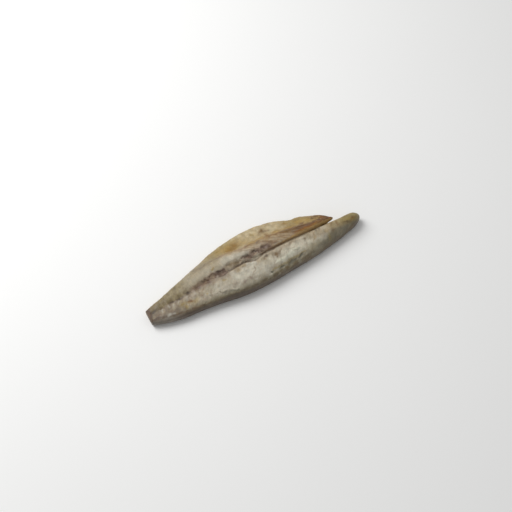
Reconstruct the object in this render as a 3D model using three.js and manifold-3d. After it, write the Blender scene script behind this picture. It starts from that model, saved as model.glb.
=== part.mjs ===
// A smoked fish fillet, one solid, lying skin down: a plump back loin and a thinner belly flap, joined
// along the fish's midline from the cut tail end to past half way, and split apart from there to the head.
// Millimetres, +Z up. +X runs from the tail to the head end and +Y from the back edge to the belly edge.
// The origin is on the surface that the fillet lies on, under the middle of its box.
import * as THREE from "three";
import { mergeVertices } from "three/addons/utils/BufferGeometryUtils.js";
import Module from "manifold-3d";

const wasm = await Module();
wasm.setup();

// Driving dimensions. x is measured from the tail cut here, and y from a line close to the fish's midline.
const LOIN_LENGTH = 197; // the whole fillet's length: tail cut to the loin's rounded head end
const FLAP_LENGTH = 173; // tail cut to the flap's pointed tip, which stops short of the loin's end
const HEAD_ROUND = 11; // length over which the loin's head end rounds off
const HEAD_BLUNTNESS = 0.06; // share of its full section that the loin's last outline keeps
const FOOT_INSET = 5; // how far the flat underside stays in from an outer edge
const SPLIT_FOOT_INSET = 1.5; // the same beside the split
const FOOT_LIMIT = 0.35; // either inset is at most this share of the lobe's width
const TIP_WIDTH = 0.8; // the flap's tip is blunt by this much

// How many outlines make each lobe, how they crowd towards its head end, and points per quarter outline.
const LOIN_STATIONS = 88;
const LOIN_CROWDING = 1.25;
const FLAP_STATIONS = 78;
const FLAP_CROWDING = 1.1;
const QUARTER_STEPS = 7;

// A smooth function of x through a few [x, value] pairs.
function along(...pairs) {
  const curve = new THREE.CubicInterpolant(pairs.map((p) => p[0]), pairs.map((p) => p[1]), 1);
  return (x) => curve.evaluate(x)[0];
}

// Line of the seam between the two lobes, and how far each lobe reaches past it into the other.
// A reach below zero is half of the open split's width.
const seam = along([0, -6.2], [30, -3.6], [60, -1], [80, -1.5], [93, -2.7], [110, -3], [128, -4],
  [145, -4.3], [160, -3.9], [173, -3.4], [200, -3.2]);
const reach = along([0, 3.6], [60, 4.5], [100, 3.6], [122, 1.6], [140, 0.2], [152, -0.2], [173, -0.7],
  [200, -0.7]);

// Past the flap's tip the loin has room to swell a little towards the belly side.
const farSwell = along([0, 0], [160, 0], [173, 0.3], [181, 0.4], [187, 0.9], [193, 1.5], [200, 1.5]);

const loin = {
  near: along([0, -12.8], [10, -16.6], [24, -19.7], [40, -20.9], [58, -23], [76, -25.8], [95, -26.4],
    [120, -24.7], [145, -22.4], [168, -18.7], [185, -14.9], [200, -11.4]),
  far: (x) => seam(x) + reach(x) + farSwell(x),
  crest: along([0, 7], [25, 8.6], [50, 11], [75, 13.4], [100, 14.8], [130, 15], [160, 14.4], [185, 13],
    [200, 12]),
  crestShare: along([0, 0.6], [60, 0.56], [100, 0.58], [130, 0.7], [160, 0.74], [200, 0.6]),
  nearRim: along([0, 4], [50, 4.4], [100, 4.4], [150, 4], [200, 4.6]),
  farRim: along([0, 3], [60, 6], [110, 10], [150, 11], [180, 8], [200, 6]),
  nearPower: along([0, 4.4], [40, 3.4], [100, 2.6], [150, 2], [200, 2]),
  farPower: along([0, 2.4], [60, 2.6], [110, 3.6], [150, 4.4], [180, 3], [200, 2.2]),
  base: () => 0,
  nearFoot: FOOT_INSET,
  farFoot: SPLIT_FOOT_INSET,
};

// Towards its tip the flap leaves the surface that the fillet lies on.
const tipLift = along([0, 0], [120, 0], [140, 0.6], [158, 3.6], [173, 11.4]);

const flap = {
  near: (x) => seam(x) - reach(x),
  far: along([0, 0.9], [15, 5], [28, 9], [41, 13], [56, 17.8], [70, 22.2], [85, 25.2], [100, 26.6],
    [114, 26.1], [127, 23.3], [137, 19], [142, 16.6], [149, 15.2], [158, 10.6], [166, 6], [173, -1.8]),
  crest: along([0, 6.6], [25, 8.6], [50, 11.8], [75, 15], [100, 17], [130, 17], [155, 16.2], [173, 14.6]),
  crestShare: along([0, 0.5], [40, 0.42], [80, 0.3], [120, 0.18], [150, 0.14], [173, 0.3]),
  nearRim: along([0, 3], [60, 6], [110, 9], [140, 10.5], [173, 12.4]),
  farRim: along([0, 3.4], [50, 4.6], [100, 6], [140, 8], [173, 13.4]),
  nearPower: along([0, 2.4], [60, 2.2], [100, 2.2], [130, 2.4], [173, 2]),
  farPower: along([0, 2.4], [40, 1.9], [80, 1.4], [110, 1.3], [150, 1.4], [173, 1.8]),
  base: (x) => Math.max(0, tipLift(x)),
  nearFoot: SPLIT_FOOT_INSET,
  farFoot: FOOT_INSET,
};

// The backbone left a row of shallow hollows, one for each vertebra, on or just above the seam.
const VERTEBRA_PITCH = 7.9;
const FIRST_VERTEBRA = 13.3;
const spine = along([0, -5.6], [20, -4.2], [44, -2.8], [60, -1.2], [80, -0.7], [100, -0.6], [120, -0.6]);
const spineDepth = along([0, 0.3], [40, 0.9], [70, 1.3], [105, 1.4], [118, 0.5], [130, 0], [200, 0]);
const SPINE_HALF_WIDTH = 2.6;
const SPINE_RIDGE = 0.2; // share of the depth that is left between two hollows

// Past this line the thick muscle gives way to the thin belly wall, which lies lower.
const bellyEdge = along([40, 12], [57, 11], [75, 12], [97, 9], [121, 7.6], [137, 4.8], [157, -0.8],
  [173, -2]);
const bellyDrop = along([0, 0], [50, 0], [75, 3.4], [110, 4.6], [140, 3.4], [165, 1], [173, 0.4], [200, 0]);
const BELLY_BLEND = [-1, 5]; // the step down runs from before this line to past it

// The fin's bones left a row of pockets low on the loin's outer slope.
const FIN_PITCH = 9.1;
const FIRST_FIN = 104.3;
const LAST_FIN = 132;
const FIN_LINE = -20.6;
const FIN_DEPTH = 1.3;
const POCKET_HALF_LENGTH = 3;
const POCKET_HALF_WIDTH = 2;

// A smooth bump, 1 at its middle and gone a little past halfWidth.
function hump(distance, halfWidth) {
  return Math.exp(-((distance / halfWidth) ** 2));
}

// How far the top surface lies below its plain rounded form at (x, y).
function relief(x, y) {
  const wave = (1 + Math.cos((2 * Math.PI * (x - FIRST_VERTEBRA)) / VERTEBRA_PITCH)) / 2;
  const beat = SPINE_RIDGE + (1 - SPINE_RIDGE) * wave;
  const vertebrae = spineDepth(x) * beat * hump(y - spine(x), SPINE_HALF_WIDTH);
  const belly = bellyDrop(x) * THREE.MathUtils.smoothstep(y - bellyEdge(x), ...BELLY_BLEND);
  let pockets = 0;
  for (let at = FIRST_FIN; at <= LAST_FIN; at += FIN_PITCH) {
    pockets += FIN_DEPTH * hump(x - at, POCKET_HALF_LENGTH) * hump(y - FIN_LINE, POCKET_HALF_WIDTH);
  }
  return vertebrae + belly + pockets;
}

// A quarter of a superellipse, as [y, z] pairs that rise or sink from a rim point to a peak.
// A power of 2 is an ellipse, a higher one is boxier and 1 is a straight slope.
function quarter([rimY, rimZ], [peakY, peakZ], power) {
  return Array.from({ length: QUARTER_STEPS + 1 }, (_, i) => {
    const turn = (Math.PI / 2) * (i / QUARTER_STEPS);
    const out = Math.cos(turn) ** (2 / power);
    const up = Math.sin(turn) ** (2 / power);
    return [peakY + (rimY - peakY) * out, rimZ + (peakZ - rimZ) * up];
  });
}

// Closed outline of one lobe at x, as [y, z] pairs: far rim, crest, near rim, and back under the foot.
function section(lobe, x) {
  const near = lobe.near(x);
  const far = Math.max(lobe.far(x), near + TIP_WIDTH);
  const width = far - near;
  const nearRim = [near, lobe.nearRim(x)];
  const farRim = [far, lobe.farRim(x)];
  const crest = [near + width * lobe.crestShare(x), lobe.crest(x)];
  const footNear = [near + Math.min(lobe.nearFoot, FOOT_LIMIT * width), lobe.base(x)];
  const footFar = [far - Math.min(lobe.farFoot, FOOT_LIMIT * width), lobe.base(x)];
  const carve = (points, [, low]) =>
    points.map(([y, z]) => [y, z - (relief(x, y) * (z - low)) / (crest[1] - low)]);
  return [
    ...carve(quarter(farRim, crest, lobe.farPower(x)).slice(0, -1), farRim),
    ...carve(quarter(nearRim, crest, lobe.nearPower(x)).slice(1).reverse(), nearRim),
    ...quarter(nearRim, footNear, 2),
    ...quarter(farRim, footFar, 2).slice(1).reverse(),
  ];
}

// Closed solid through a row of outlines that all have the same number of points.
function loft(rings) {
  const size = rings[0].length;
  const positions = rings.flat(2);
  const indices = [];
  for (let r = 0; r + 1 < rings.length; r++) {
    for (let i = 0; i < size; i++) {
      const a = r * size + i;
      const b = r * size + ((i + 1) % size);
      indices.push(a, b, a + size, b, b + size, a + size);
    }
  }
  const last = (rings.length - 1) * size;
  const flat = (ring) => ring.map(([, y, z]) => new THREE.Vector2(y, z));
  for (const [a, b, c] of THREE.ShapeUtils.triangulateShape(flat(rings[0]), [])) {
    indices.push(a, c, b);
  }
  for (const [a, b, c] of THREE.ShapeUtils.triangulateShape(flat(rings.at(-1)), [])) {
    indices.push(last + a, last + b, last + c);
  }
  const geometry = new THREE.BufferGeometry();
  geometry.setAttribute("position", new THREE.Float32BufferAttribute(positions, 3));
  geometry.setIndex(indices);
  return geometry;
}

// The solid of a closed geometry.
function solid(geometry) {
  const merged = mergeVertices(geometry, 1e-3);
  return new wasm.Manifold(
    new wasm.Mesh({
      numProp: 3,
      vertProperties: merged.attributes.position.array,
      triVerts: new Uint32Array(merged.index.array),
    }),
  );
}

// How much of its full size a section keeps near the loin's head end, which rounds off like a finger's.
function headRound(x) {
  const into = Math.max(0, (x - (LOIN_LENGTH - HEAD_ROUND)) / HEAD_ROUND);
  return Math.max(HEAD_BLUNTNESS, Math.sqrt(1 - into * into));
}

// Places from 0 to length, closer together towards the far end for a crowding above 1.
function stations(count, length, crowding) {
  const even = (i) => i / (count - 1);
  return Array.from({ length: count }, (_, i) => length * (1 - (1 - even(i)) ** crowding));
}

function loinRings() {
  return stations(LOIN_STATIONS, LOIN_LENGTH, LOIN_CROWDING).map((x) => {
    const outline = section(loin, x);
    const keep = headRound(x);
    const middle = (loin.near(x) + loin.far(x)) / 2;
    const level = loin.nearRim(x);
    return outline.map(([y, z]) => [x, middle + (y - middle) * keep, level + (z - level) * keep]);
  });
}

function flapRings() {
  const places = stations(FLAP_STATIONS, FLAP_LENGTH, FLAP_CROWDING);
  return places.map((x) => section(flap, x).map(([y, z]) => [x, y, z]));
}

// Geometry of a solid, moved so that its box stands centred on the origin.
function centred(body) {
  const mesh = body.getMesh();
  const geometry = new THREE.BufferGeometry();
  geometry.setAttribute("position", new THREE.Float32BufferAttribute(mesh.vertProperties, mesh.numProp));
  geometry.setIndex(new THREE.BufferAttribute(mesh.triVerts, 1));
  geometry.computeBoundingBox();
  const { min, max } = geometry.boundingBox;
  geometry.translate(-(min.x + max.x) / 2, -(min.y + max.y) / 2, -min.z);
  geometry.computeVertexNormals();
  return geometry;
}

const fleshMaterial = new THREE.MeshStandardMaterial({ color: 0xada38a, roughness: 0.5, metalness: 0 });

const joined = solid(loft(loinRings())).add(solid(loft(flapRings())));
const fillet = new THREE.Mesh(centred(joined), fleshMaterial);
fillet.name = "fillet";

const fish = new THREE.Group();
fish.add(fillet);

export default fish;
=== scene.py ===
"""A smoked mackerel fillet lying skin down: the plump back loin in front, the belly flap behind it."""

import math

import bpy
import numpy as np
from mathutils import Matrix, Vector, noise


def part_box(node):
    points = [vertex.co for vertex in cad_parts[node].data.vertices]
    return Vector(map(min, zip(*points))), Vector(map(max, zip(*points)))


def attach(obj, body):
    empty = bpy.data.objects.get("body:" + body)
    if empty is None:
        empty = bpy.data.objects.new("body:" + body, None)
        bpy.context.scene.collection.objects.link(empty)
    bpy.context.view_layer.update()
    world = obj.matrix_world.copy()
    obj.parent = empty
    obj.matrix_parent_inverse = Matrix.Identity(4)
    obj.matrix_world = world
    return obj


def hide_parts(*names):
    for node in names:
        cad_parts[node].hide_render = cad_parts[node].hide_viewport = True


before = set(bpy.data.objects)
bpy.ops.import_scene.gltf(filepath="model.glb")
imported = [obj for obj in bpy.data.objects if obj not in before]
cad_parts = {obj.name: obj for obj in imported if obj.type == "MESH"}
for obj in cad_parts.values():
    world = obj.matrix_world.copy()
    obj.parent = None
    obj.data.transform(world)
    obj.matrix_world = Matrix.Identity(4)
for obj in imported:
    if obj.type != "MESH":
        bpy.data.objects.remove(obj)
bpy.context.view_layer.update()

# Sizes on the fish are in millimetres: x from the tail cut to the head end, y across the fillet from the
# back edge (minus) to the belly edge (plus), and z up. Blender's own units are metres.
MM = 0.001
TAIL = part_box("fillet")[0].x

FLAP_TIP = 173
VOXEL = 0.48
SMOOTHING_ROUNDS = 14
SMOOTHING_STEPS = (0.5, -0.52)

# ---------------------------------------------------------------- small helpers


def along(*pairs):
    """A smooth function of x through a few (x, value) pairs, level beyond its ends."""
    at, value = np.array(pairs, float).T
    slope = np.gradient(value, at)

    def curve(x):
        x = np.clip(x, at[0], at[-1])
        i = np.clip(np.searchsorted(at, x, side="right") - 1, 0, len(at) - 2)
        width = at[i + 1] - at[i]
        t = (x - at[i]) / width
        ends = value[i] * (1 + 2 * t) * (1 - t) ** 2 + value[i + 1] * t**2 * (3 - 2 * t)
        return ends + width * (slope[i] * t * (1 - t) ** 2 - slope[i + 1] * t**2 * (1 - t))

    return curve


def rise(value, start, end):
    """0 before start and 1 past end, smooth between them."""
    t = np.clip((value - start) / (end - start), 0, 1)
    return t * t * (3 - 2 * t)


def within(value, start, end, soft):
    """1 between start and end, fading to 0 over soft on either side."""
    return rise(value, start - soft, start) * (1 - rise(value, end, end + soft))


def band(value, middle, half_width):
    """1 at the middle, gone a little past half_width on either side."""
    return np.exp(-(((value - middle) / half_width) ** 2))


def blend(share, a, b):
    """a where share is 0, b where it is 1."""
    return a + share * (b - a)


def cloud(place, scale, octaves=3, seed=0.0):
    """Fractal noise in about -1 to 1, with features of roughly scale millimetres."""
    points = place / scale + seed
    return np.clip(np.array([noise.fractal(Vector(p), 0.8, 2.0, octaves) for p in points]), -1, 1)


def linear(red, green, blue):
    """A colour's linear values from its screen values, each from 11 to 255."""
    return tuple(((value / 255 + 0.055) / 1.055) ** 2.4 for value in (red, green, blue))


# ---------------------------------------------------------------- the fillet's lines

# Where the loin ends and the flap begins. The flakes stop at slightly different places, so it jogs.
crack_line = along(
    (0, -6.2), (10, -5.6), (20, -4.6), (45, -4), (60, -3.8), (68, -4.6), (74, -4.5), (82, -4.1),
    (90, -4.4), (93, -5.4), (96, -6.4), (98.5, -6.4), (101, -5.4), (104, -4.8), (110, -5), (118, -4.5),
    (145, -4.4), (160, -4), (173, -3.4), (200, -3.2),
)

# The middle of the band that the backbone left.
spine_line = along(
    (0, -5.6), (20, -4.6), (44, -3.4), (60, -2.2), (75, -1.2), (92, -1.6), (107, -1), (118, -2.8)
)

# The thick muscle ends here and the thin belly wall begins.
belly_line = along(
    (30, 12.5), (45, 12), (55, 11), (70, 11.6), (76, 11.6), (82, 10), (92, 8.4), (104, 7.6),
    (115, 7.6), (122, 7.4), (132, 6.4), (140, 4.6), (150, 2.4), (158, 0.4), (173, -2.2),
)

# The upper edge of the flap's wall in the split.
wall_top = along((90, -1.6), (110, -1.8), (130, -2.2), (155, -2.4), (173, -2.2))

# The fillet's outline seen from above.
near_edge = along((0, -12.8), (24, -19.7), (58, -23), (95, -26.4), (145, -22.4), (185, -15), (197, -11))
far_edge = along(
    (0, 0.9), (28, 9), (56, 17.8), (85, 25.2), (100, 26.6), (127, 23.3), (149, 15.2), (173, -1.8)
)

# Where the skin's edge shows: the back's as a line along the near side, the others as heights.
near_skin = along(
    (0, -11.6), (5, -12.4), (10, -13.8), (15, -15.2), (20, -16.5), (30, -18), (40, -19.6), (50, -20.9),
    (60, -21.7), (70, -23.1), (80, -24.8), (95, -25.4), (110, -25), (120, -24.2), (140, -22.9),
    (150, -21.7), (170, -18.2), (185, -14.7), (197, -10.4),
)
near_skin_low = along((0, 0.8), (180, 0.8), (190, 4.6), (197, 5.4))
far_skin = along((0, 3), (50, 4.2), (100, 5.4), (140, 7.2), (160, 9.5), (173, 12.6))
loin_split_skin = along((0, 1), (168, 1), (180, 5.2), (197, 5.4))
flap_split_skin = along((0, 1), (140, 1.4), (158, 4.4), (173, 12.2))

# Hollows that the vertebrae left, slanting down towards the crack. Each has its half width, its darkness
# from 0 to 1, and the (x, y) points of its middle line.
HOLLOWS = (
    (0.9, 0.4, (11, -4.8), (14.6, -5.6)),
    (1.2, 0.5, (19, -4), (23, -4.8)),
    (1.4, 0.5, (26, -3.8), (30.4, -4.8)),
    (1.3, 0.4, (34, -3.3), (39, -4.8)),
    (1.3, 0.2, (42, -2), (46.4, -4.6)),
    (1.5, 0.15, (49.6, -1.2), (54.6, -4.4)),
    (1.6, 0.4, (58, -1.2), (61.6, -2.6)),
    (2.3, 0.85, (64.8, -0.8), (69.8, -4)),
    (1.6, 0.15, (74, 0), (86, -1.6)),
    (1.4, 0.8, (88.6, -0.4), (92.4, -0.6), (95.6, -3.2)),
    (1.7, 0.7, (98.2, 0.4), (101.6, -0.5), (105.4, -3.2)),
    (1.7, 0.7, (107, 0.4), (109.8, -0.6), (112.8, -2.6)),
)

# The loin has a flake for each vertebra, and they slant back towards the tail as they go down its side.
VERTEBRA_PITCH = 7.9
FIRST_VERTEBRA = 12.6
FLAKE_SLANT = 0.6

# Between the split and the belly the muscle fibres fall towards the split, ever more gently near the tip.
fan_fall = along((90, -6), (100, 0), (120, 12), (135, 19.5), (150, 23.8), (173, 26.5))

# Pockets that the back fin's bones left: x, y, half length and half width.
FIN_POCKETS = ((104.5, -22, 1.8, 0.9), (113.5, -21.5, 3.4, 1.5), (123, -20.6, 4.2, 1.4), (132, -19.8, 3, 1))

# ---------------------------------------------------------------- mesh


def build_surface():
    """The CAD solid again as a fine, even mesh."""
    rough = bpy.data.objects.new("fillet_rough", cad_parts["fillet"].data.copy())
    bpy.context.scene.collection.objects.link(rough)
    remesh = rough.modifiers.new("remesh", "REMESH")
    remesh.mode = "VOXEL"
    remesh.voxel_size = VOXEL * MM
    fine = bpy.data.meshes.new_from_object(rough.evaluated_get(bpy.context.evaluated_depsgraph_get()))
    bpy.data.objects.remove(rough)
    fine.name = "fillet_flesh"
    return fine


def positions(mesh):
    """The vertices' places in metres, one row each."""
    co = np.empty(len(mesh.vertices) * 3, np.float32)
    mesh.vertices.foreach_get("co", co)
    return co.reshape(-1, 3).astype(float)


def normals(mesh):
    """The directions that the vertices face, one row each."""
    directions = np.empty(len(mesh.vertices) * 3, np.float32)
    mesh.vertex_normals.foreach_get("vector", directions)
    return directions.reshape(-1, 3).astype(float)


def set_positions(mesh, co):
    mesh.vertices.foreach_set("co", co.astype(np.float32).ravel())
    mesh.update()


def relaxed(mesh, co):
    """Positions smoothed without shrinking, by steps towards the neighbours' average and back."""
    edges = np.empty(len(mesh.edges) * 2, np.int32)
    mesh.edges.foreach_get("vertices", edges)
    a, b = edges.reshape(-1, 2).T
    degree = np.bincount(edges, minlength=len(co))[:, None]
    for _ in range(SMOOTHING_ROUNDS):
        for step in SMOOTHING_STEPS:
            total = np.stack([
                np.bincount(a, co[b, axis], len(co)) + np.bincount(b, co[a, axis], len(co))
                for axis in range(3)
            ], 1)
            co = co + step * (total / degree - co)
    return co


def store(mesh, name, values):
    """Keeps a number, a vector or a colour for each vertex, for the material to read."""
    kinds = {1: ("FLOAT", "value"), 3: ("FLOAT_VECTOR", "vector"), 4: ("FLOAT_COLOR", "color")}
    kind, key = kinds[values.size // len(values)]
    mesh.attributes.new(name, kind, "POINT").data.foreach_set(key, values.astype(np.float32).ravel())


class Surface:
    """Where each vertex of the fillet lies, in millimetres, and how that relates to the fillet's lines."""

    def __init__(self, mesh):
        co = positions(mesh)
        self.place = np.stack([(co[:, 0] - TAIL) / MM, co[:, 1] / MM, co[:, 2] / MM], 1)
        self.facing = normals(mesh)
        self.x, self.y, self.z = self.place.T
        self.up = np.clip(self.facing[:, 2], 0, 1)
        self.broad = cloud(self.place, 12, seed=5.2)
        self.middling = cloud(self.place, 5, seed=3.1)
        self.fine = cloud(self.place, 1.8, seed=7.7)
        self.blotches = cloud(self.place, 6, octaves=3, seed=51.6)

        # The same place with a little wander, for marks with irregular outlines.
        self.wander_x = self.x + 1.5 * cloud(self.place, 5, seed=12.4)
        self.wander_y = self.y + 1.2 * cloud(self.place, 5, seed=15.9)

        # How far a place lies past the crack and past the belly's line, towards the belly's edge.
        jagged = 0.22 + 0.7 * within(self.x, 95, 108, 5)
        self.past_crack = self.y - crack_line(self.x) + jagged * self.middling
        self.flap = rise(self.past_crack, -0.3, 0.2) * (1 - rise(self.x, FLAP_TIP, FLAP_TIP + 2))
        self.loin = 1 - self.flap
        self.past_belly = self.y - belly_line(self.x) + 0.5 * self.middling

        # How far a place lies above the skin's edge.
        far_facing = rise(self.facing[:, 1], -0.15, 0.15)
        over_near_skin = np.minimum(self.y - near_skin(self.x), self.z - near_skin_low(self.x))
        over_loin_skin = blend(far_facing, over_near_skin, self.z - loin_split_skin(self.x))
        over_flap_skin = self.z - blend(far_facing, flap_split_skin(self.x), far_skin(self.x))
        self.above_skin = blend(self.flap, over_loin_skin, over_flap_skin)
        under = rise(-self.facing[:, 2], 0.25, 0.5)
        self.skin = np.maximum(1 - rise(self.above_skin + 0.5 * self.middling, -0.7, 0.7), under)
        self.top = 1 - self.skin

        # 1 on the open surface and 0 inside the split, where the relief is faint.
        in_split = within(self.y, -5.8, -1.2, 0.6) * within(self.x, 126, 174, 8) * (1 - self.up)
        self.open = 1 - in_split

        # Distance down from the crack over the loin and its near side, along the surface.
        drop = np.clip(14 - self.z, 0, None) * rise(-self.facing[:, 1], 0.2, 0.6)
        self.down_loin = -self.past_crack + 0.7 * drop

        # Across the fan's fibres, and the share of the way from the split's wall to the belly's line.
        self.fan = self.y + fan_fall(self.x)
        flap_width = np.clip(belly_line(self.x) - wall_top(self.x), 1.5, None)
        self.across_flap = (self.y - wall_top(self.x)) / flap_width


def spot(s, x, y, half_length, half_width, turn=0.0):
    """An irregular oval mark: 1 in its middle. turn is the angle of its long side from x, in degrees."""
    c, n = math.cos(math.radians(turn)), math.sin(math.radians(turn))
    dx, dy = s.wander_x - x, s.wander_y - y
    return np.exp(-((((dx * c + dy * n) / half_length) ** 2 + ((dy * c - dx * n) / half_width) ** 2) ** 1.2))


def spots(s, *marks):
    """Several such marks as one, each given by the same numbers."""
    return np.maximum.reduce([spot(s, *mark) for mark in marks])


def ring(s, x, y, half_length, half_width, turn, thickness):
    """The outline of such a mark, as thick as that on either side."""
    c, n = math.cos(math.radians(turn)), math.sin(math.radians(turn))
    dx, dy = s.wander_x - x, s.wander_y - y
    out = (np.hypot((dx * c + dy * n) / half_length, (dy * c - dx * n) / half_width) - 0.85) * half_width
    return np.exp(-((out / thickness) ** 2))


def stroke(s, half_width, *points):
    """A line through (x, y) points, 1 along its middle and thinning out at its ends."""
    nearest = np.full(len(s.x), np.inf)
    share = np.zeros(len(s.x))
    count = len(points) - 1
    for k, ((ax, ay), (bx, by)) in enumerate(zip(points, points[1:])):
        dx, dy = bx - ax, by - ay
        t = np.clip(((s.wander_x - ax) * dx + (s.wander_y - ay) * dy) / (dx * dx + dy * dy), 0, 1)
        distance = np.hypot(s.wander_x - ax - t * dx, s.wander_y - ay - t * dy)
        closer = distance < nearest
        nearest = np.where(closer, distance, nearest)
        share = np.where(closer, (k + t) / count, share)
    taper = 0.35 + 0.65 * np.sin(math.pi * np.clip(share, 0.02, 0.98)) ** 0.5
    return np.exp(-((nearest / (half_width * taper)) ** 2))


# ---------------------------------------------------------------- features


class Features:
    """The fillet's marks as masks from 0 to 1, which the relief and the colour share."""

    def __init__(self, s):
        self.vertebrae(s)
        self.flakes(s)
        self.edges(s)

    def vertebrae(self, s):
        """The backbone's hollows, in a brownish band."""
        self.hollow = np.zeros(len(s.x))
        self.hollow_dark = np.zeros(len(s.x))
        for half_width, darkness, *line in HOLLOWS:
            inside = stroke(s, half_width, *line) * s.up * s.top
            self.hollow = np.maximum(self.hollow, inside)
            self.hollow_dark = np.maximum(self.hollow_dark, darkness * inside)
        self.spine_band = band(s.wander_y, spine_line(s.x), 2.5) * within(s.x, 42, 113, 9) * s.up

    def flakes(self, s):
        """Flakes across the loin, each ending in a small step down with a thin brownish line."""
        warp = 0.4 * s.broad + 0.16 * s.middling + 0.03 * s.fine
        in_flake = ((s.x + FLAKE_SLANT * s.down_loin - FIRST_VERTEBRA) / VERTEBRA_PITCH + warp) % 1
        reach = s.loin * rise(s.down_loin, 1.5, 4) * s.top * within(s.x, 40, 150, 22)
        patchy = cloud(s.place, 6, seed=22.5)
        self.flake_step = (rise(in_flake, 0, 0.7) * (1 - rise(in_flake, 0.82, 1)) - 0.5) * reach
        self.flake_step *= (0.6 + 0.8 * patchy) * (1 - 0.6 * within(s.x, 66, 104, 12))
        line = np.maximum(band(in_flake, 0.95, 0.06), band(in_flake, -0.05, 0.06))
        self.flake_line = line * reach * rise(patchy, -0.05, 0.45)
        stripe = np.maximum(band(in_flake, 0.88, 0.16), band(in_flake, -0.12, 0.16))
        self.flake_stripe = stripe * reach * rise(patchy, -0.5, 0.4)

        # Short ribs beside the crack near the tail.
        self.rib = s.loin * s.top * spots(
            s, (11.6, -7, 2, 1, 80), (17.8, -7.2, 2.2, 0.9, 84), (22.2, -7.8, 2.2, 0.9, 76),
            (26.4, -6.8, 1.6, 0.8, 70), (33.6, -7.2, 1.8, 1.3, 70), (41.2, -7, 1.8, 1.3, 60),
        )

        # Fibres of the fan between the split and the belly, and faint ones across the tail's flap.
        stretched = np.stack([s.x / 20, s.fan / 2.0, np.zeros(len(s.x))], 1)
        self.fan_fibre = cloud(stretched, 1, octaves=3, seed=4.4)
        self.fan_zone = s.flap * rise(s.x + s.y, 92, 112) * rise(s.across_flap, -0.1, 0.15)
        self.fan_zone *= 1 - rise(s.past_belly, -0.5, 2.5)
        crosswise = np.stack([(s.x + 0.2 * s.y) / 1.3, s.y / 7, s.z / 7], 1)
        self.tail_fibre = cloud(crosswise, 1, octaves=2, seed=31.4) * s.flap * within(s.x, 2, 40, 14) * s.top

        # Fine grain runs with the flakes on the loin and with the fan on the flap.
        loin_flow = np.stack([s.x + FLAKE_SLANT * s.down_loin, 0.16 * s.down_loin, 0.3 * s.z], 1)
        flap_flow = np.stack([s.fan, 0.16 * s.x, 0.3 * s.z], 1)
        cross_flow = np.stack([s.x + 0.2 * s.y, 0.16 * s.y, 0.3 * s.z], 1)
        flap_flow = blend(rise(s.x, 78, 100)[:, None], cross_flow, flap_flow)
        self.flow = blend(s.flap[:, None], loin_flow, flap_flow)

    def edges(self, s):
        """The crack and its wall, the groove along the belly, the fin's pockets and the rolled rim."""
        strength = along(
            (0, 0), (30, 0.1), (60, 0.2), (70, 0.4), (74, 0.7), (88, 0.8), (93, 0.7), (98, 0.75), (101, 0.6),
            (104, 0.9), (108, 0.8), (111, 0.5), (114, 0.5), (119, 0.6), (130, 0.5), (142, 0.35), (165, 0),
        )
        self.crack = band(s.past_crack, 0, 0.65) * strength(s.x) * s.top
        self.crack_lip = band(s.past_crack, -1.9, 1.3) * within(s.x, 72, 126, 10) * s.loin
        self.crack_lip *= rise(cloud(s.place, 5, seed=18.2), -0.3, 0.3)
        side = rise(-s.facing[:, 1], 0.3, 0.6)
        self.wall = s.flap * side * rise(s.x, 98, 116) * (1 - rise(s.past_crack, 2.6, 4)) * s.top
        self.groove = band(s.past_belly, -0.3, 1.1) * within(s.x, 52, 104, 8) * s.top * s.flap
        self.ridge = band(s.y, belly_line(s.x) - 4.6, 2.8) * within(s.x, 68, 96, 14) * s.flap
        self.pocket = spots(s, *((x, y, long, wide, 4) for x, y, long, wide in FIN_POCKETS)) * s.top
        self.pocket_rim = spots(s, *((x - 1, y - 1.8, long, 0.6, 6) for x, y, long, _ in FIN_POCKETS)) * s.top
        self.crest = stroke(s, 1.6, (110, -17), (118, -16), (126, -14.6), (133, -13.4)) * s.top
        self.rim = stroke(s, 0.7, (60, -17.2), (65, -17.8), (69.5, -19.8), (73.5, -22.8), (78, -24)) * s.top
        self.under_rim = stroke(s, 1.1, (60, -18.6), (65, -19.6), (69, -21.6), (73, -24)) * s.top


def relief(s, f):
    """How far the surface stands out, in millimetres."""
    hollow_depth = along(
        (12, 0.3), (36, 0.3), (52, 0.35), (60, 0.6), (67, 0.8), (71, 0.8), (76, 0.4), (84, 0.4), (90, 0.8),
        (108, 0.8), (118, 0.4),
    )
    lumps = cloud(s.place, 7, seed=9.3)
    height = -hollow_depth(s.x) * f.hollow
    height += 0.26 * f.flake_step - 0.08 * f.flake_line
    height += 0.22 * f.rib
    height += 0.28 * f.fan_fibre * f.fan_zone * s.up + 0.1 * f.tail_fibre
    height -= 0.5 * f.crack * s.up
    height += 0.3 * f.crack_lip * s.up
    height -= (0.4 - 0.24 * rise(s.x, 72, 80)) * f.groove
    height += 0.4 * f.ridge * s.up
    height += 0.35 * f.pocket_rim - 0.5 * f.pocket
    height += 0.35 * f.rim - 0.3 * f.under_rim + 0.35 * f.crest
    bumpy = 1 - 0.5 * s.loin * within(s.x, 64, 106, 12)
    height += s.top * bumpy * (0.24 * lumps + 0.14 * s.middling + 0.05 * s.fine) + s.skin * 0.05 * lumps
    return height * blend(s.open, 0.15, 1)


# ---------------------------------------------------------------- colour

# In this section s is the Surface, f the Features and p the Paint. Tones are screen values, 0 to 255.


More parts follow.
